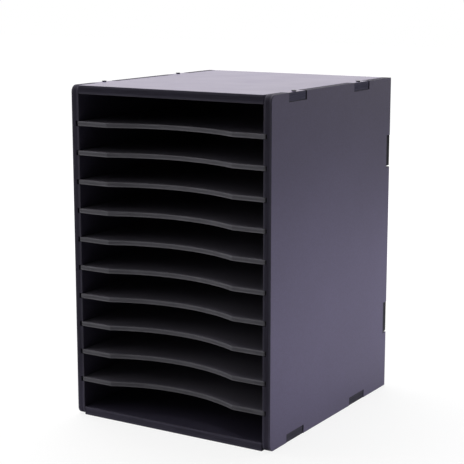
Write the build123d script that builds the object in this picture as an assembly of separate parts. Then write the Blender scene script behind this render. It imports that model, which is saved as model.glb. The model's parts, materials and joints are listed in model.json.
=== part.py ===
from build123d import *
import os

# A desk organizer for loose sheets: a tall open box of laminated board with ten pull-out shelves.
# Sizes are in millimetres. The origin is at the middle of the footprint on the desk, +X to the
# right, +Y to the back and +Z up. The open front of the box is the plane y = -depth / 2.

# Outside of the box
width = 270.0
depth = 300.0
height = 400.0

# Boards
side_thickness = 10.0
top_thickness = 10.0
bottom_thickness = 10.0
back_thickness = 9.0
shelf_thickness = 5.5
side_corner_radius = 8.0    # front corners of the side panels, seen from the side
eased_edge = 0.5            # small chamfer along every edge of a board
joint_gap = 0.3             # between a side panel and the ends of the panels that it carries

# Shelves and the grooves that carry them
shelf_count = 10
end_slot_height = 32.0      # clear height under the lowest shelf and over the highest one
groove_depth = 4.5
shelf_clearance = 0.3       # under, over, beside and behind a shelf in its grooves
shelf_setback = 0.5         # front edge of a shelf behind the open front of the box
shelf_corner_radius = 4.0   # front corners of a shelf, seen from above
scoop_land = 40.0           # straight front edge between a side panel and the scoop
scoop_depth = 20.0          # how far the scoop goes back at its middle

# Tabs of the top, bottom and back panels, and the open notches in the side panels
tab_length = 38.0
tab_recess = 0.5            # end of a tab inside the outer face of the side panel
tab_seat_gap = 0.3          # between a tab and the end of its notch that it lies against
notch_play = 2.0            # a notch is this much longer than its tab
front_tab_setback = 58.5    # from the open front to the middle of a front notch
rear_tab_setback = 82.5     # from the rear plane to the middle of a rear notch
back_tab_offset = 10.0      # from the second shelf from either end to the middle of a back notch

# Countersunk wood screws, one through each tab
screw_length = 25.0
screw_radius = 1.5
screw_head_radius = 3.0
screw_head_height = 1.8
screw_head_rim = 0.3        # straight rim above the countersunk cone
screw_neck = 6.0            # plain shank below the head
screw_tip = 3.0             # pointed end
thread_pitch = 1.4
thread_depth = 0.35
screw_clearance = 0.05      # all round a screw in its hole
cross_length = 3.4          # cross recess in the head
cross_width = 0.7
cross_depth = 1.0
top_head_proud = 1.3        # the heads in the top panel stand a little above it

# Cutting tools run this far past the face that they cut
over = 1.0

# Planes and spaces between the boards
front = -depth / 2
rear = depth / 2
back_face = rear - back_thickness
inner_width = width - 2 * side_thickness
inner_height = height - top_thickness - bottom_thickness
top_face = height - top_thickness
groove_height = shelf_thickness + 2 * shelf_clearance
slot_height = (inner_height - 2 * end_slot_height - shelf_count * shelf_thickness) / (shelf_count - 1)
shelf_pitch = slot_height + shelf_thickness
shelf_levels = [bottom_thickness + end_slot_height + n * shelf_pitch for n in range(shelf_count)]

# Middles of the notches, and of the tabs that lie against one end of them. The notches of the back
# panel lie between two shelves, so that their screws pass the grooves.
notch_length = tab_length + notch_play
tab_shift = notch_play / 2 - tab_seat_gap
notch_depths = [front + front_tab_setback, rear - rear_tab_setback]
notch_heights = [
    shelf_levels[1] + shelf_thickness + back_tab_offset,
    shelf_levels[-2] - back_tab_offset,
]
tab_depths = [y - tab_shift for y in notch_depths]
tab_heights = [z + tab_shift for z in notch_heights]
tab_span = width - 2 * tab_recess
panel_width = inner_width - 2 * joint_gap
screw_x = (width - side_thickness) / 2


def block(x_span, y_span, z_span):
    """A box between a low and a high value on each axis."""
    spans = [x_span, y_span, z_span]
    size = [high - low for low, high in spans]
    middle = [(low + high) / 2 for low, high in spans]
    return Pos(*middle) * Box(*size)


def across(middle, length):
    """The low and high values of a length about its middle."""
    return (middle - length / 2, middle + length / 2)


def eased(board, thickness_axis):
    """The board with a small chamfer round both of its faces."""
    return chamfer(board.edges().filter_by(thickness_axis, reverse=True), eased_edge)


# Screws

def screw_hole():
    """The space that a screw takes: its own outline and a clearance, open above the head."""
    head = screw_head_radius + screw_clearance
    shank = screw_radius + screw_clearance
    outline = Polyline(
        (0, over),
        (head, over),
        (head, -screw_head_rim),
        (shank, -screw_head_height),
        (shank, -screw_length + screw_tip),
        (0, -screw_length - screw_clearance),
        close=True,
    )
    return revolve(Plane.XZ * make_face(outline), Axis.Z)


def screw():
    """A countersunk wood screw that points down, with the middle of its head at the origin."""
    root = screw_radius - thread_depth
    thread_start = screw_head_height + screw_neck
    turns = int((screw_length - screw_tip - thread_start) // thread_pitch)
    points = [
        (0, 0),
        (screw_head_radius, 0),
        (screw_head_radius, -screw_head_rim),
        (screw_radius, -screw_head_height),
        (screw_radius, -thread_start),
    ]
    for turn in range(turns):
        crest = thread_start + (turn + 0.5) * thread_pitch
        points.append((root, -crest + thread_pitch / 2))
        points.append((screw_radius, -crest))
    points.append((root, -screw_length + screw_tip))
    points.append((0, -screw_length))
    body = revolve(Plane.XZ * make_face(Polyline(*points, close=True)), Axis.Z)
    cross_span = (-cross_depth, over)
    body -= block(across(0, cross_length), across(0, cross_width), cross_span)
    body -= block(across(0, cross_width), across(0, cross_length), cross_span)
    return body


def top_screw_places():
    return [Pos(x, y, height + top_head_proud) for x in (-screw_x, screw_x) for y in tab_depths]


def bottom_screw_places():
    return [Pos(x, y, 0) * Rot(180, 0, 0) for x in (-screw_x, screw_x) for y in tab_depths]


def back_screw_places():
    return [Pos(x, rear, z) * Rot(-90, 0, 0) for x in (-screw_x, screw_x) for z in tab_heights]


def drilled(board, places):
    """The board with a countersunk hole at each place."""
    for place in places:
        board -= place * screw_hole()
    return board


def screw_set(places):
    return Compound(children=[place * screw() for place in places])


# Box

def right_side_panel():
    outline = Plane.YZ.offset(inner_width / 2) * Pos(0, height / 2) * Rectangle(depth, height)
    outline = fillet(outline.vertices().group_by(Axis.Y)[0], side_corner_radius)
    board = extrude(outline, amount=side_thickness)
    through = (inner_width / 2 - over, width / 2 + over)
    for y in notch_depths:
        board -= block(through, across(y, notch_length), (top_face, height + over))
        board -= block(through, across(y, notch_length), (-over, bottom_thickness))
    for z in notch_heights:
        board -= block(through, (back_face, rear + over), across(z, notch_length))
    board = eased(board, Axis.X)
    groove_width = (inner_width / 2 - over, inner_width / 2 + groove_depth)
    for level in shelf_levels:
        groove = across(level + shelf_thickness / 2, groove_height)
        board -= block(groove_width, (front - over, back_face), groove)
    places = top_screw_places() + bottom_screw_places() + back_screw_places()
    return drilled(board, [place for place in places if place.position.X > 0])


def flat_panel(low, high):
    """The top or the bottom panel, between two heights."""
    board = block(across(0, panel_width), (front, rear), (low, high))
    front_corners = board.edges().filter_by(Axis.Z).group_by(Axis.Y)[0]
    board = chamfer(front_corners, eased_edge)
    for y in tab_depths:
        board += block(across(0, tab_span), across(y, tab_length), (low, high))
    return eased(board, Axis.Z)


def top_panel():
    return drilled(flat_panel(top_face, height), top_screw_places())


def bottom_panel():
    return drilled(flat_panel(0, bottom_thickness), bottom_screw_places())


def back_panel():
    board = block(across(0, panel_width), (back_face, rear), (bottom_thickness, top_face))
    for z in tab_heights:
        board += block(across(0, tab_span), (back_face, rear), across(z, tab_length))
    return drilled(eased(board, Axis.Y), back_screw_places())


# Shelves

def shelf(level):
    """A shelf with rounded front corners and a shallow scoop, its underside at a given height."""
    half_width = inner_width / 2 + groove_depth - shelf_clearance
    half_scoop = inner_width / 2 - scoop_land
    edge = front + shelf_setback
    end = back_face - shelf_clearance
    scoop = ThreePointArc((-half_scoop, edge), (0, edge + scoop_depth), (half_scoop, edge))
    sides = Polyline(
        (half_scoop, edge),
        (half_width, edge),
        (half_width, end),
        (-half_width, end),
        (-half_width, edge),
        (-half_scoop, edge),
    )
    outline = make_face([scoop, sides])
    front_points = outline.vertices().group_by(Axis.Y)[0].sort_by(Axis.X)
    outline = fillet([front_points[0], front_points[-1]], shelf_corner_radius)
    board = extrude(Pos(0, 0, level) * outline, amount=shelf_thickness, dir=(0, 0, 1))
    return eased(board, Axis.Z)


os.makedirs("parts", exist_ok=True)
right_side = right_side_panel()
export_step(right_side, "parts/right_side_panel.step")
export_step(mirror(right_side, about=Plane.YZ), "parts/left_side_panel.step")
export_step(top_panel(), "parts/top_panel.step")
export_step(bottom_panel(), "parts/bottom_panel.step")
export_step(back_panel(), "parts/back_panel.step")
export_step(screw_set(top_screw_places()), "parts/top_panel_screws.step")
export_step(screw_set(bottom_screw_places()), "parts/bottom_panel_screws.step")
export_step(screw_set(back_screw_places()), "parts/back_panel_screws.step")
for number, level in enumerate(shelf_levels, start=1):
    export_step(shelf(level), f"parts/shelf_{number:02d}.step")
print(f"slot height {slot_height:.2f}, shelf pitch {shelf_pitch:.2f}")
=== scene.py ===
# %% [markdown]
# # A desk organizer for loose sheets
#
# The real object is a tall open box of charcoal laminated board. Ten thin shelves lie in grooves of
# its side panels, and each shelf has a shallow scoop in its front edge for the fingers. Every board
# is cut from a flat sheet, so the CAD model already has the exact shape of each one.
#
# What makes such a plain box look real is its finish. This lesson builds the satin skin of the
# laminate, the dull painted edges of the box, the paler edges of the shelves, and the small black
# screws that hold the box together.

# %% Load the CAD model
import json
import math
import random

import bmesh
import bpy
from mathutils import Euler, Matrix, Vector

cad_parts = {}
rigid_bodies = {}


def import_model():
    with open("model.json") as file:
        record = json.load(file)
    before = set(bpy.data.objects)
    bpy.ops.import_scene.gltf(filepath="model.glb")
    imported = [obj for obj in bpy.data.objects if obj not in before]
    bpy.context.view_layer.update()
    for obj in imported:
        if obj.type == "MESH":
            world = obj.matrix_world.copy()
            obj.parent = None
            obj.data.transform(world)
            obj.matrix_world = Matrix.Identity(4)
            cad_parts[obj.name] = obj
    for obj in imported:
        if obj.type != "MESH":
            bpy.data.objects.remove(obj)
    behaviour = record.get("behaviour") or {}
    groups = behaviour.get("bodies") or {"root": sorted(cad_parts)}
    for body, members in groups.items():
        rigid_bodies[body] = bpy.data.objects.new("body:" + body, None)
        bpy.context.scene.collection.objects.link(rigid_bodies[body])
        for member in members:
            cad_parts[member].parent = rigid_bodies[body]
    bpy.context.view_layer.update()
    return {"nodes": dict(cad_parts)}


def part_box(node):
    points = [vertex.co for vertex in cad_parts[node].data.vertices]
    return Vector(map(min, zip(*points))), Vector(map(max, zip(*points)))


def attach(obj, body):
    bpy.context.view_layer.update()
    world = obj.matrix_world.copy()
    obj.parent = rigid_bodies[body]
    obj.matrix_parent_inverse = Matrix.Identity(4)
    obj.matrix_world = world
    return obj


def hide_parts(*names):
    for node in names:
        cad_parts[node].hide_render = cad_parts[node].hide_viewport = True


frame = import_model()
nodes = frame["nodes"]
mm = 0.001

# %% [markdown]
# ## Camera
#
# The camera comes first, because every finish is judged through it. It stands to the right of the
# open front and a little above the top, and looks slightly down. It could stand close with a short
# lens, but then the upright edges would lean. A long lens from further away keeps them nearly
# parallel, as in a product picture.

# %% Camera
camera_place = Vector((0.8457, -1.3876, 0.5243))
camera_turn = 31.562
camera_fall = 10.804

camera_data = bpy.data.cameras.new("camera")
camera_data.sensor_width = 36.0
camera_data.lens = 103.93
camera_data.clip_end = 50.0
camera = bpy.data.objects.new("camera", camera_data)
camera.location = camera_place
camera.rotation_euler = Euler((math.radians(90 - camera_fall), 0, math.radians(camera_turn)))
bpy.context.scene.collection.objects.link(camera)
bpy.context.scene.camera = camera
bpy.context.scene.view_settings.view_transform = "Standard"
print("the camera is", round(camera_place.length, 2), "m from the middle of the footprint")

# %% [markdown]
# ## Helpers for materials
#
# A material is a small graph: a place on the board goes in, patterns are worked out from it, and a
# colour, a roughness and a bump come out. In the editor each box is added and wired by hand. Here
# five small helpers do that, so that each finish below reads as a recipe.

# %% Helpers for materials
def empty_tree(owner):
    """The node tree of a material or a world, with nothing in it."""
    owner.use_nodes = True
    owner.node_tree.nodes.clear()
    return owner.node_tree


def add(tree, kind, inputs=None, **settings):
    """Adds a node. Each input is either joined to another node's socket or set to a value."""
    node = tree.nodes.new(kind)
    for name, value in settings.items():
        setattr(node, name, value)
    for socket, value in (inputs or {}).items():
        if isinstance(value, bpy.types.NodeSocket):
            tree.links.new(value, node.inputs[socket])
        else:
            node.inputs[socket].default_value = value
    return node


def maths(tree, operation, *values):
    """One arithmetic step."""
    return add(tree, "ShaderNodeMath", dict(enumerate(values)), operation=operation).outputs[0]


def fade(tree, value, start, end, first=0.0, last=1.0):
    """Goes smoothly from the first to the last result while the value goes from start to end."""
    inputs = {0: value, 1: start, 2: end, 3: first, 4: last}
    return add(tree, "ShaderNodeMapRange", inputs, interpolation_type="SMOOTHSTEP").outputs[0]


def between(tree, factor, first, second):
    """Goes evenly from the first value to the second while the factor goes from 0 to 1."""
    return add(tree, "ShaderNodeMix", {0: factor, 2: first, 3: second}).outputs[0]


# %% [markdown]
# Four more helpers make patterns and colours. Noise is the base of every natural pattern: its
# scale counts patches to the metre, so a scale of 1000 gives patches of about a millimetre.
# Stretching the place that goes into the noise draws the patches out into streaks.

# %% Helpers for patterns and colours
def noise(tree, place, scale, detail=2.0):
    """A cloudy pattern between 0 and 1."""
    inputs = {"Vector": place, "Scale": scale, "Detail": detail}
    return add(tree, "ShaderNodeTexNoise", inputs).outputs[0]


def stretched(tree, place, scales):
    """The place with each axis multiplied, so that a pattern is drawn out along the small ones."""
    inputs = {0: place, 1: scales}
    return add(tree, "ShaderNodeVectorMath", inputs, operation="MULTIPLY").outputs[0]


def blend(tree, factor, first, second):
    """Goes evenly from the first colour to the second while the factor goes from 0 to 1."""
    made = add(tree, "ShaderNodeMix", {0: factor, 6: first, 7: second}, data_type="RGBA")
    return made.outputs[2]


def scaled(tree, colour, amount):
    """A colour made lighter or darker by a pattern."""
    inputs = {0: colour, "Scale": amount}
    return add(tree, "ShaderNodeVectorMath", inputs, operation="SCALE").outputs[0]


# %% [markdown]
# ## Floor
#
# The object stands on a plain white sweep. The floor could be a white sheet under strong lamps, but
# the lamps would then bleach the object too. Instead the floor has two faces: rays from the camera
# and from glossy surfaces see it glow white, with a soft shadow under the box, and the light that
# it throws back on the object is that of a plain grey card.

# %% Floor mesh
floor_reach = 8.0
floor_drop = 0.4 * mm
floor_form = bmesh.new()
bmesh.ops.create_grid(floor_form, x_segments=1, y_segments=1, size=floor_reach)
bmesh.ops.translate(floor_form, verts=floor_form.verts, vec=(0, 0, -floor_drop))
floor_mesh = bpy.data.meshes.new("floor")
floor_form.to_mesh(floor_mesh)
floor_form.free()
floor = bpy.data.objects.new("floor", floor_mesh)
bpy.context.scene.collection.objects.link(floor)
print("floor", [round(side, 1) for side in floor.dimensions], "m")

# %% Floor finish
floor_grey = (0.36, 0.36, 0.36, 1.0)
shadow_grey = (0.15, 0.15, 0.15, 1.0)
white = (1.0, 1.0, 1.0, 1.0)
near = 0.3
far = 1.2
glow_near = 0.85
glow_far = 1.0
glow_in_gloss = 0.4

floor_finish = bpy.data.materials.new("floor")
tree = empty_tree(floor_finish)
path = add(tree, "ShaderNodeLightPath")
by_camera = path.outputs["Is Camera Ray"]
mirrored = path.outputs["Is Glossy Ray"]
refracted = path.outputs["Is Transmission Ray"]
in_gloss = maths(tree, "MAXIMUM", mirrored, refracted)
place = add(tree, "ShaderNodeTexCoord").outputs["Object"]
distance = add(tree, "ShaderNodeVectorMath", {0: place}, operation="LENGTH").outputs["Value"]
glow_seen = fade(tree, distance, near, far, glow_near, glow_far)
level = between(tree, in_gloss, glow_seen, glow_in_gloss)
shadowed = add(tree, "ShaderNodeBsdfDiffuse", {"Color": shadow_grey})
glow = add(tree, "ShaderNodeEmission", {"Color": white, "Strength": level})
seen = add(tree, "ShaderNodeAddShader", {0: shadowed.outputs[0], 1: glow.outputs[0]})
card = add(tree, "ShaderNodeBsdfDiffuse", {"Color": floor_grey})
is_seen = maths(tree, "MAXIMUM", by_camera, in_gloss)
both = add(tree, "ShaderNodeMixShader", {0: is_seen, 1: card.outputs[0], 2: seen.outputs[0]})
add(tree, "ShaderNodeOutputMaterial", {"Surface": both.outputs[0]})
floor.data.materials.append(floor_finish)

# %% [markdown]
# ## Studio light
#
# A laminated board is a weak mirror, so the room around it is part of its look. The top is seen at
# a flat angle and mirrors the white wall behind the box, which is why it looks so much paler than
# the side. The room is white at the back and dark on the camera's side, so that the slots stay
# dark.

# %% Room
room_in_diffuse = 0.45
room_in_gloss = 1.07
room_as_seen = 1.0
bright_side_level = 1.0
dark_side_level = 0.10
bright_until = -0.2
dark_from = 0.7
toward_dark_side = Vector((0.45, -0.89, 0.0))
warm_white = (1.0, 0.962, 0.925, 1.0)

world = bpy.data.worlds.new("room")
bpy.context.scene.world = world
tree = empty_tree(world)
path = add(tree, "ShaderNodeLightPath")
by_camera = path.outputs["Is Camera Ray"]
mirrored = path.outputs["Is Glossy Ray"]
refracted = path.outputs["Is Transmission Ray"]
direction = add(tree, "ShaderNodeTexCoord").outputs["Generated"]
inputs = {0: direction, 1: toward_dark_side}
facing = add(tree, "ShaderNodeVectorMath", inputs, operation="DOT_PRODUCT").outputs["Value"]
walls = fade(tree, facing, bright_until, dark_from, bright_side_level, dark_side_level)
share = between(tree, mirrored, room_in_diffuse, room_in_gloss)
room_level = maths(tree, "MULTIPLY", walls, share)
is_seen = maths(tree, "MAXIMUM", by_camera, refracted)
strength = between(tree, is_seen, room_level, room_as_seen)
colour = blend(tree, mirrored, white, warm_white)
background = add(tree, "ShaderNodeBackground", {"Color": colour, "Strength": strength})
add(tree, "ShaderNodeOutputWorld", {"Surface": background.outputs[0]})

# %% [markdown]
# Five softboxes give the object its light. The one overhead is the largest and lights the top. A
# small one stands close by at the left and makes the left edges a little brighter than the right
# ones. Two stand in front: the high one lights only the first centimetres of each shelf, and the
# low one, a long strip, sends a little light deep into the slots. The one at the right is low and
# has a grid in front of it, which keeps its beam narrow: the side panel is brightest near its lower
# back corner and darker at the top.

# %% Softboxes
def softbox(name, place, aim, width, height, level, spread=180):
    """A rectangular lamp. The level is the brightness of its white face."""
    data = bpy.data.lights.new(name, "AREA")
    data.shape = "RECTANGLE"
    data.size = width
    data.size_y = height
    data.spread = math.radians(spread)
    data.energy = level * math.pi * width * height
    lamp = bpy.data.objects.new(name, data)
    lamp.location = place
    lamp.rotation_euler = (Vector(aim) - Vector(place)).to_track_quat("-Z", "Y").to_euler()
    lamp.visible_camera = False
    bpy.context.scene.collection.objects.link(lamp)
    print(name, round(data.energy, 1), "W")


upper_box = (0, 0, 0.3)
box_middle = (0, 0, 0.2)
front_edges = (0, -0.15, 0.25)
foot_of_side = (0.135, 0.06, 0.045)

softbox("top softbox", (-0.5, 0.5, 1.9), upper_box, width=2.0, height=2.0, level=4.25)
softbox("left softbox", (-0.95, -0.75, 0.42), front_edges, width=0.7, height=0.5, level=2.05)
softbox("high front softbox", (0.0, -1.5, 1.7), box_middle, width=1.2, height=1.2, level=0.36)
softbox("low front softbox", (0.0, -2.4, 0.30), box_middle, width=1.6, height=0.4, level=1.15)
softbox(
    "right softbox",
    (1.3, 0.6, 0.02),
    foot_of_side,
    width=0.6,
    height=0.3,
    level=0.88,
    spread=22,
)

# %% [markdown]
# ## Laminate and edges
#
# Each board is a pressed sheet with a skin of printed paper on both faces. A board shows three
# finishes: the skin, the cut edge, and the narrow eased arris between them. They could be three
# materials on separate faces, but the CAD mesh is only a list of triangles. It is simpler to ask
# the surface which way it faces. Where it faces along the thickness of the board it is skin, where
# it faces across the thickness it is edge, and in between it is the arris.

# %% Find the skin, the edge and the arris
inside_facing = (0.30, 0.60)
skin_facing = (0.80, 0.95)
arris_facing = (0.20, 0.50)


def board_zones(tree, thickness_axis, inward, end_facing):
    """Masks of the parts of a board, by the way that the surface faces."""
    normal = add(tree, "ShaderNodeTexCoord").outputs["Normal"]
    parts = add(tree, "ShaderNodeSeparateXYZ", {0: normal})
    facing = parts.outputs["XYZ".index(thickness_axis)]
    is_inside = fade(tree, maths(tree, "MULTIPLY", facing, inward), *inside_facing)
    flatness = maths(tree, "ABSOLUTE", facing)
    is_skin = fade(tree, flatness, *skin_facing)
    not_edge = fade(tree, flatness, *arris_facing)
    is_arris = maths(tree, "MULTIPLY", not_edge, maths(tree, "SUBTRACT", 1.0, is_skin))
    is_end = fade(tree, maths(tree, "ABSOLUTE", parts.outputs[0]), *end_facing)
    return {"skin": is_skin, "inside": is_inside, "arris": is_arris, "end": is_end}


# %% [markdown]
# The skin is smooth to the eye, but not perfect. Its colour drifts by a few percent over a hand's
# breadth, and its gloss varies where hands have polished it. A fine pebble, pressed into the paper
# by the plate of the press, softens what it mirrors. Each pattern has its scale and its range by
# name, so that one value can be tried at a time.

# %% Laminate skin
drift_scale = 9.0
drift_tones = (0.95, 1.05)
fleck_scale = 700.0
fleck_tones = (0.95, 1.08)
polish_scale = 22.0
skin_roughness = (0.28, 0.32)
pebble_scale = 2200.0
pebble_height = 0.006


def laminate_skin(tree, place, colour):
    """Colour, roughness and height of the laminate."""
    drift = fade(tree, noise(tree, place, drift_scale, detail=3.0), 0.2, 0.8, *drift_tones)
    fleck = fade(tree, noise(tree, place, fleck_scale), 0.3, 0.7, *fleck_tones)
    tone = scaled(tree, colour, maths(tree, "MULTIPLY", drift, fleck))
    polish = noise(tree, place, polish_scale, detail=3.0)
    roughness = fade(tree, polish, 0.2, 0.8, *skin_roughness)
    height = maths(tree, "MULTIPLY", noise(tree, place, pebble_scale), pebble_height)
    return tone, roughness, height


# %% [markdown]
# A pressed board is hard and dense near its two faces and coarse in the middle. Paint stays smooth
# on the dense part and sinks into the coarse core, so a painted edge has a dull dark line along its
# middle and a paler line on either side. The fibres lie flat in the sheet, which is why the edge
# shows streaks along its length and never across it.

# %% Cut edge
streak_scale_across = 1500.0
streak_scale_along = 45.0
streak_tones = (0.85, 1.25)
streak_height = 0.03
grit_scale = 1600.0
grit_heights = (0.02, 0.06)
edge_roughness = (0.82, 0.92)


def depth_in_board(tree, place, thickness_axis, middle, spacing):
    """How far a place is from the middle of its board. Boards in a stack repeat at a spacing."""
    parts = add(tree, "ShaderNodeSeparateXYZ", {0: place})
    level = parts.outputs["XYZ".index(thickness_axis)]
    wrapped = maths(tree, "WRAP", level, middle + spacing / 2, middle - spacing / 2)
    return maths(tree, "ABSOLUTE", maths(tree, "SUBTRACT", wrapped, middle))


def cut_edge(tree, place, thickness_axis, core, colour):
    """Colour, roughness and height of a cut edge. The core is 1 in the middle of the board."""
    scales = [streak_scale_along] * 3
    scales["XYZ".index(thickness_axis)] = streak_scale_across
    streaks = noise(tree, stretched(tree, place, scales), 1.0, detail=3.0)
    tone = scaled(tree, colour, fade(tree, streaks, 0.35, 0.70, *streak_tones))
    roughness = fade(tree, core, 0.0, 1.0, *edge_roughness)
    grit = noise(tree, place, grit_scale)
    coarse = maths(tree, "MULTIPLY", grit, fade(tree, core, 0.0, 1.0, *grit_heights))
    height = maths(tree, "ADD", coarse, maths(tree, "MULTIPLY", streaks, streak_height))
    return tone, roughness, height


# %% [markdown]
# The arris is sanded off by half a millimetre, and that is where a board is rubbed first. Its paint
# is worn a little paler in short broken patches. Its colour is also painted light: the inner and
# the outer arris have colours of their own for the light and shade that each catches. The edges are
# painted paler towards the desk, which is painted light near the floor; a fade with height does
# that in one step.
#
# Ends have a colour of their own. They are found by how far the surface turns to the left or right,
# and each kind of board says from where to where. This colour is painted light: the tab ends of the
# box are paler, for the shade in their recesses, and the ends of the shelves are near-black, for
# the shade in the grooves.

# %% Put the finish of a board together
core_start = 0.7
core_full = 0.3
painted_foot_light_height = 85 * mm
wear_scale = 260.0
wear_shares = (0.25, 0.90)
board_specular = 0.25
board_bump = 0.6


def board_finish(name, thickness_axis, inward, half, middle, spacing, look):
    """One material with the skins, the cut edge and the arris of a board, with painted light and
    shade.
    """
    material = bpy.data.materials.new(name)
    tree = empty_tree(material)
    place = add(tree, "ShaderNodeTexCoord").outputs["Object"]
    where = board_zones(tree, thickness_axis, inward, look["end facing"])
    depth = depth_in_board(tree, place, thickness_axis, middle, spacing)
    # The inner skin colour is painted shade for the inside of the box.
    paper = blend(tree, where["inside"], look["outer skin"], look["inner skin with painted shade"])
    skin_tone, skin_rough, skin_height = laminate_skin(tree, place, paper)
    core = fade(tree, depth, core_start * half, core_full * half)
    paint = blend(tree, core, look["edge"], look["core"])
    above_desk = add(tree, "ShaderNodeSeparateXYZ", {0: place}).outputs[2]
    # Painted light: the edge paint gets paler towards the desk.
    paint = scaled(tree, paint, fade(tree, above_desk, 0.0, painted_foot_light_height, look["painted light at the foot"], 1.0))
    # The ends get a colour of painted light and shade from each look: paler tab ends, near-black
    # shelf ends.
    paint = blend(tree, where["end"], paint, look["end"])
    edge_tone, edge_rough, edge_height = cut_edge(tree, place, thickness_axis, core, paint)
    colour = blend(tree, where["skin"], edge_tone, skin_tone)
    wear = noise(tree, place, wear_scale, detail=4.0)
    rubbed = fade(tree, wear, 0.40, 0.62, *wear_shares)
    # The arris colour is rubbed paint and painted highlight, different inside and outside.
    rubbed_and_lit_arris = blend(tree, where["inside"], look["outer arris wear and painted light"], look["inner arris wear and painted light"])
    colour = blend(tree, maths(tree, "MULTIPLY", where["arris"], rubbed), colour, rubbed_and_lit_arris)
    roughness = between(tree, where["skin"], edge_rough, skin_rough)
    height = between(tree, where["skin"], edge_height, skin_height)
    bump = add(tree, "ShaderNodeBump", {"Height": height, "Strength": board_bump, "Distance": mm})
    inputs = {"Base Color": colour, "Roughness": roughness, "Normal": bump.outputs[0]}
    shader = add(tree, "ShaderNodeBsdfPrincipled", inputs)
    shader.inputs["Specular IOR Level"].default_value = board_specular
    add(tree, "ShaderNodeOutputMaterial", {"Surface": shader.outputs[0]})
    return material


# %% [markdown]
# ## Boards of the box
#
# The five panels share one laminate, a charcoal with a breath of violet. Its inner faces are
# darker, which is painted shade for the inside of the box. Their edges are painted in a darker and
# much duller charcoal. The ends of the tabs are paler, which is painted light for the shade in
# their recesses. Two panels have colours of their own: the edge of the bottom panel has a paler
# core line, which is painted light, and its inner arris and tab ends are darker, which is painted
# shade.
# The tab ends of the back panel are painted darker still, which is painted shade too.
#
# The loop below reads each panel's thickness from the CAD model, so the dark line of the core lies
# in the middle of every edge. A panel stands alone, so its spacing is simply larger than the whole
# object.

# %% Boards of the box
box_look = {
    "outer skin": (0.117, 0.101, 0.186, 1.0),
    # Painted shade: the inner skin is darker than the outer one, for the inside of the box.
    "inner skin with painted shade": (0.050, 0.045, 0.070, 1.0),
    "edge": (0.047, 0.043, 0.064, 1.0),
    "core": (0.028, 0.025, 0.040, 1.0),
    # Painted light: the tab ends are paler, for the shade in their recesses.
    "end": (0.097, 0.093, 0.146, 1.0),
    # The arris colours are rubbed paint and painted highlight.
    "outer arris wear and painted light": (0.055, 0.051, 0.072, 1.0),
    "inner arris wear and painted light": (0.090, 0.085, 0.105, 1.0),
    "end facing": (0.60, 0.90),
    # Painted light: edges up to 1.9 times paler at the desk.
    "painted light at the foot": 1.9,
}
alone = 2.0
# Painted light on the bottom panel's core line, painted shade on its inner arris and tab ends.
bottom_edge_light_and_shade = {"core": (0.036, 0.033, 0.049, 1.0), "inner arris wear and painted light": (0.047, 0.044, 0.058, 1.0)}
bottom_tabs_painted_shade = {"end": (0.050, 0.047, 0.068, 1.0)}
# Painted shade: the back panel's tab ends are darker.
back_tabs_painted_shade = {"end": (0.025, 0.024, 0.032, 1.0)}
panels = {
    "left_side_panel": ("X", 1, {}),
    "right_side_panel": ("X", -1, {}),
    "top_panel": ("Z", -1, {}),
    "bottom_panel": ("Z", 1, {**bottom_edge_light_and_shade, **bottom_tabs_painted_shade}),
    "back_panel": ("Y", -1, back_tabs_painted_shade),
}


def dress(node_name, material):
    """Gives a CAD node its one material."""
    nodes[node_name].data.materials.clear()
    nodes[node_name].data.materials.append(material)


for node_name, (axis, inward, own_look) in panels.items():
    low, high = (corner["XYZ".index(axis)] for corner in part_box(node_name))
    thickness = high - low
    middle = (low + high) / 2
    look = {**box_look, **own_look}
    finish = board_finish(node_name, axis, inward, thickness / 2, middle, alone, look)
    dress(node_name, finish)
    print(node_name, "is", round(thickness / mm, 1), "mm thick")

# %% [markdown]
# ## Shelves
#
# The shelves are thinner boards of their own. Their skin is a more neutral charcoal, and their
# edges are painted a middle grey, so each one reads as a pale line across the dark front. Their
# ends, which run in the grooves, are near-black, which is painted shade for the grooves. One
# material
# serves all ten: the depth in the board repeats from shelf to shelf.

# %% Shelves
shelf_look = {
    "outer skin": (0.120, 0.113, 0.138, 1.0),
    "inner skin with painted shade": (0.120, 0.113, 0.138, 1.0),
    "edge": (0.165, 0.161, 0.181, 1.0),
    "core": (0.113, 0.110, 0.125, 1.0),
    # Painted shade: the shelf ends are near-black, for the shade in the grooves.
    "end": (0.010, 0.010, 0.012, 1.0),
    # The shelf arris colours are rubbed paint and painted light: the lower arris paler, the upper
    # one darker.
    "outer arris wear and painted light": (0.250, 0.245, 0.266, 1.0),
    "inner arris wear and painted light": (0.138, 0.135, 0.152, 1.0),
    "end facing": (0.47, 0.60),
    "painted light at the foot": 1.0,
}
shelf_names = sorted(name for name in nodes if name.startswith("shelf_"))
first_low, first_high = (corner[2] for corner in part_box(shelf_names[0]))
last_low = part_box(shelf_names[-1])[0][2]
shelf_half = (first_high - first_low) / 2
shelf_middle = (first_high + first_low) / 2
shelf_pitch = (last_low - first_low) / (len(shelf_names) - 1)
shelf_finish = board_finish("shelf", "Z", 1, shelf_half, shelf_middle, shelf_pitch, shelf_look)
for node_name in shelf_names:
    dress(node_name, shelf_finish)
print(len(shelf_names), "shelves,", round(shelf_pitch / mm, 2), "mm apart")

# %% [markdown]
# ## Screws
#
# Twelve small countersunk screws hold the box together, one through each tab. The CAD model has
# plain ones with the right sizes. Here each gets its real form: a flat head with a rounded rim and
# a tapered cross recess, a plain neck, a thread that runs round the shank, and a point.
#
# The head and the shank are one turned shape, so their outline is drawn once and spun. The outline
# is a list of distances from the axis and heights, with the top of the head at zero.

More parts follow.
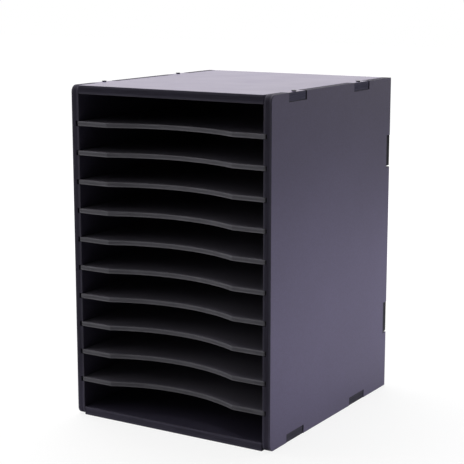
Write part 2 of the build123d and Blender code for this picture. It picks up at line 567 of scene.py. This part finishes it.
# %% Outline of a screw
head_radius = 3.0 * mm
thread_radius = 1.5 * mm
root_radius = 1.15 * mm
neck_end = -7.8 * mm
tip_start = -22.0 * mm
tip_end = -25.0 * mm
rim_radius = head_radius - 0.25 * mm
screw_outline = [
    (rim_radius, 0.0),
    (head_radius - 0.10 * mm, -0.03 * mm),
    (head_radius - 0.02 * mm, -0.11 * mm),
    (head_radius, -0.20 * mm),
    (head_radius - 0.03 * mm, -0.32 * mm),
    (thread_radius + 0.15 * mm, -1.65 * mm),
    (thread_radius, -1.95 * mm),
    (thread_radius, neck_end),
    (root_radius, neck_end - 0.5 * mm),
    (root_radius, tip_start),
    (0.75 * root_radius, tip_start - 1.0 * mm),
    (0.35 * root_radius, tip_end + 0.7 * mm),
    (0.0, tip_end),
]

# %% Spin the outline
head_segments = 48
screw = bmesh.new()
points = [screw.verts.new((radius, 0, height)) for radius, height in screw_outline]
lines = [screw.edges.new(pair) for pair in zip(points, points[1:])]
bmesh.ops.spin(
    screw,
    geom=points + lines,
    cent=(0, 0, 0),
    axis=(0, 0, 1),
    angle=math.tau,
    steps=head_segments,
    use_merge=True,
)
bmesh.ops.remove_doubles(screw, verts=screw.verts, dist=0.001 * mm)
rim_loop = [edge for edge in screw.edges if edge.is_boundary]
print("turned body:", len(screw.faces), "faces, open rim of", len(rim_loop), "edges")

# %% [markdown]
# The cross recess could be cut with a boolean, but a boolean leaves ragged faces on something so
# small. Instead a grid of three by three squares loses its corners and becomes a cross. The cross
# is pressed down and made narrower at the bottom, which gives the driver's taper, and its outline
# is bridged to the rim of the head.

# %% Cross recess
cross_reach = 1.7 * mm
cross_half_width = 0.38 * mm
cross_depth = 1.1 * mm
cross_taper = 0.62
cross_rounding = 0.06 * mm

grid = bmesh.ops.create_grid(screw, x_segments=3, y_segments=3, size=cross_reach)
for point in grid["verts"]:
    for axis in (0, 1):
        if abs(point.co[axis]) < 0.9 * cross_reach:
            point.co[axis] = math.copysign(cross_half_width, point.co[axis])
squares = list(dict.fromkeys(face for point in grid["verts"] for face in point.link_faces))
corners = []
for face in squares:
    middle = face.calc_center_median()
    if min(abs(middle.x), abs(middle.y)) > cross_half_width:
        corners.append(face)
bmesh.ops.delete(screw, geom=corners, context="FACES")
cross = [face for face in squares if face.is_valid]
outline = [edge for face in cross for edge in face.edges if edge.is_boundary]
bmesh.ops.bridge_loops(screw, edges=rim_loop + outline)
print("cross of", len(cross), "squares with", len(outline), "edges round it")

# %% Press the cross in
pressed = bmesh.ops.extrude_face_region(screw, geom=cross)
bottom = [item for item in pressed["geom"] if isinstance(item, bmesh.types.BMVert)]
bmesh.ops.translate(screw, verts=bottom, vec=(0, 0, -cross_depth))
bmesh.ops.scale(screw, verts=bottom, vec=(cross_taper, cross_taper, 1.0))
left_over = [face for face in cross if face.is_valid]
bmesh.ops.delete(screw, geom=left_over, context="FACES")
rim = [edge for edge in outline if edge.is_valid]
bmesh.ops.bevel(
    screw,
    geom=rim,
    offset=cross_rounding,
    offset_type="OFFSET",
    affect="EDGES",
    segments=2,
    profile=0.5,
    material=-1,
)
bmesh.ops.recalc_face_normals(screw, faces=screw.faces)
print("open or loose edges left:", sum(not edge.is_manifold for edge in screw.edges))

# %% [markdown]
# The thread is a small triangle that travels round the shank and up it at the same time. The spin
# does that with an extra step along the axis. The ridge grows out of the tip and sinks into the
# neck over one turn, because a rolled thread has no blunt ends.

# %% Thread
thread_pitch = 1.4 * mm
thread_start = tip_end + 0.6 * mm
turns = 12
steps_per_turn = 24
foot_share = 0.9
least_root_share = 0.15
ridge_foot = foot_share * root_radius
ridge_half_width = 0.42 * mm


def root_at(height):
    """Radius of the thread's root, which tapers at the tip."""
    if height > tip_start:
        return root_radius
    return root_radius * max(least_root_share, (height - tip_end) / (tip_start - tip_end))


thread = bmesh.new()
crest = (thread_radius, 0.0)
section = [(ridge_foot, -ridge_half_width), crest, (ridge_foot, ridge_half_width)]
points = [thread.verts.new((radius, 0, thread_start + height)) for radius, height in section]
lines = [thread.edges.new((points[n], points[(n + 1) % 3])) for n in range(3)]
bmesh.ops.spin(
    thread,
    geom=points + lines,
    cent=(0, 0, 0),
    axis=(0, 0, 1),
    dvec=(0, 0, thread_pitch / steps_per_turn),
    angle=turns * math.tau,
    steps=turns * steps_per_turn,
)
bmesh.ops.holes_fill(thread, edges=[edge for edge in thread.edges if edge.is_boundary])
thread_end = max(point.co.z for point in thread.verts)
print("thread of", turns, "turns, up to", round(thread_end / mm, 1), "mm")

# %% Let the thread run out at both ends
least_rise = 0.1
for point in thread.verts:
    radius = math.hypot(point.co.x, point.co.y)
    from_end = min(point.co.z - thread_start, thread_end - point.co.z)
    rise = min(1.0, max(least_rise, from_end / thread_pitch))
    root = root_at(point.co.z)
    wanted = foot_share * root + (radius - ridge_foot) * rise * root / root_radius
    point.co.x *= wanted / radius
    point.co.y *= wanted / radius
bmesh.ops.recalc_face_normals(thread, faces=thread.faces)
if thread.calc_volume(signed=True) < 0:
    bmesh.ops.reverse_faces(thread, faces=thread.faces)
print("thread holds", round(thread.calc_volume(signed=True) / mm**3, 1), "cubic mm")
thread_mesh = bpy.data.meshes.new("thread")
thread.to_mesh(thread_mesh)
thread.free()
screw.from_mesh(thread_mesh)
bpy.data.meshes.remove(thread_mesh)
print("whole screw:", len(screw.faces), "faces")

# %% [markdown]
# Every screw keeps its own flat view of itself as a UV map: how far each point is from its axis,
# left to right and front to back. The finish draws turning marks and driver wear from that map, and
# they stay in place on every head, wherever the screw is driven in.

# %% Flat map and smooth shading
crease_angle = math.radians(32)
flat_map = screw.loops.layers.uv.new("from_axis")
for face in screw.faces:
    face.smooth = True
    for corner in face.loops:
        corner[flat_map].uv = (corner.vert.co.x / mm, corner.vert.co.y / mm)
for edge in screw.edges:
    edge.smooth = edge.calc_face_angle(0.0) < crease_angle
screw_mesh = bpy.data.meshes.new("screw")
screw.to_mesh(screw_mesh)
screw.free()
print("sharp edges:", sum(edge.use_edge_sharp for edge in screw_mesh.edges))

# %% [markdown]
# Black wood screws are steel with a thin coat of phosphate, which is a dull black with a weak oily
# sheen. The head shows fine rings from the lathe, and the driver has rubbed bare steel through the
# coat round the cross.

# %% Black screw steel
oxide_black = (0.012, 0.012, 0.015, 1.0)
bare_steel = (0.22, 0.22, 0.23, 1.0)
ring_radians_per_mm = 60.0
ring_height = 0.002
blotch_scale = 1400.0
blotch_height = 0.02
rubbed_within = 2.3
most_rubbed_within = 1.5
most_rubbed = 0.7
steel_roughness = (0.40, 0.58)
steel_specular = 0.3
steel_bump = 0.5

screw_steel = bpy.data.materials.new("black_screw_steel")
tree = empty_tree(screw_steel)
place = add(tree, "ShaderNodeTexCoord").outputs["Object"]
flat = add(tree, "ShaderNodeUVMap", uv_map="from_axis").outputs[0]
from_axis = add(tree, "ShaderNodeVectorMath", {0: flat}, operation="LENGTH").outputs["Value"]
rings = maths(tree, "SINE", maths(tree, "MULTIPLY", from_axis, ring_radians_per_mm))
blotch = noise(tree, place, blotch_scale, detail=4.0)
near_cross = fade(tree, from_axis, rubbed_within, most_rubbed_within, 0.0, most_rubbed)
rubbed = maths(tree, "MULTIPLY", near_cross, fade(tree, blotch, 0.50, 0.66))
colour = blend(tree, rubbed, oxide_black, bare_steel)
roughness = fade(tree, blotch, 0.3, 0.7, *steel_roughness)
turned = maths(tree, "MULTIPLY", rings, ring_height)
height = maths(tree, "MULTIPLY_ADD", blotch, blotch_height, turned)
bump = add(tree, "ShaderNodeBump", {"Height": height, "Strength": steel_bump, "Distance": mm})
inputs = {"Base Color": colour, "Roughness": roughness, "Normal": bump.outputs[0]}
shader = add(tree, "ShaderNodeBsdfPrincipled", inputs)
shader.inputs["Specular IOR Level"].default_value = steel_specular
add(tree, "ShaderNodeOutputMaterial", {"Surface": shader.outputs[0]})

# %% [markdown]
# The CAD model says where the screws are. The corners of each set's own box lie one head radius
# outside the four axes, so the places are read from there. Each head gets a turn of its own,
# because screws driven by hand never line up.

# %% Drive the screws in
random.seed(27)
point_down = Matrix.Identity(4)
point_up = Matrix.Rotation(math.pi, 4, "X")
point_forward = Matrix.Rotation(-math.pi / 2, 4, "X")


def drive_screws(name, node_name, places, direction):
    """A set of screws as one piece that stands for a CAD node."""
    form = bmesh.new()
    for place in places:
        turn = Matrix.Rotation(random.uniform(0, math.tau), 4, "Z")
        one = screw_mesh.copy()
        one.transform(Matrix.Translation(place) @ direction @ turn)
        form.from_mesh(one)
        bpy.data.meshes.remove(one)
    mesh = bpy.data.meshes.new(name)
    form.to_mesh(mesh)
    form.free()
    piece = bpy.data.objects.new(name, mesh)
    bpy.context.scene.collection.objects.link(piece)
    mesh.materials.append(screw_steel)
    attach(piece, "box")
    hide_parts(node_name)
    print(name, len(mesh.polygons), "faces")


# %% Screws of the top, the bottom and the back
def corners_of(node_name, across, along, head_axis, head_side):
    """The middle of each head: one head radius inside the corners of the set's box."""
    low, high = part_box(node_name)
    places = []
    for u in (low[across] + head_radius, high[across] - head_radius):
        for v in (low[along] + head_radius, high[along] - head_radius):
            place = Vector((0, 0, 0))
            place[across] = u
            place[along] = v
            place[head_axis] = (low, high)[head_side][head_axis]
            places.append(place)
    return places


x, y, z = 0, 1, 2
for name, across, along, head_axis, head_side, direction in (
    ("top", x, y, z, 1, point_down),
    ("bottom", x, y, z, 0, point_up),
    ("back", x, z, y, 1, point_forward),
):
    node_name = f"{name}_panel_screws"
    heads = corners_of(node_name, across, along, head_axis, head_side)
    drive_screws(f"{name}_screws", node_name, heads, direction)
bpy.data.meshes.remove(screw_mesh)
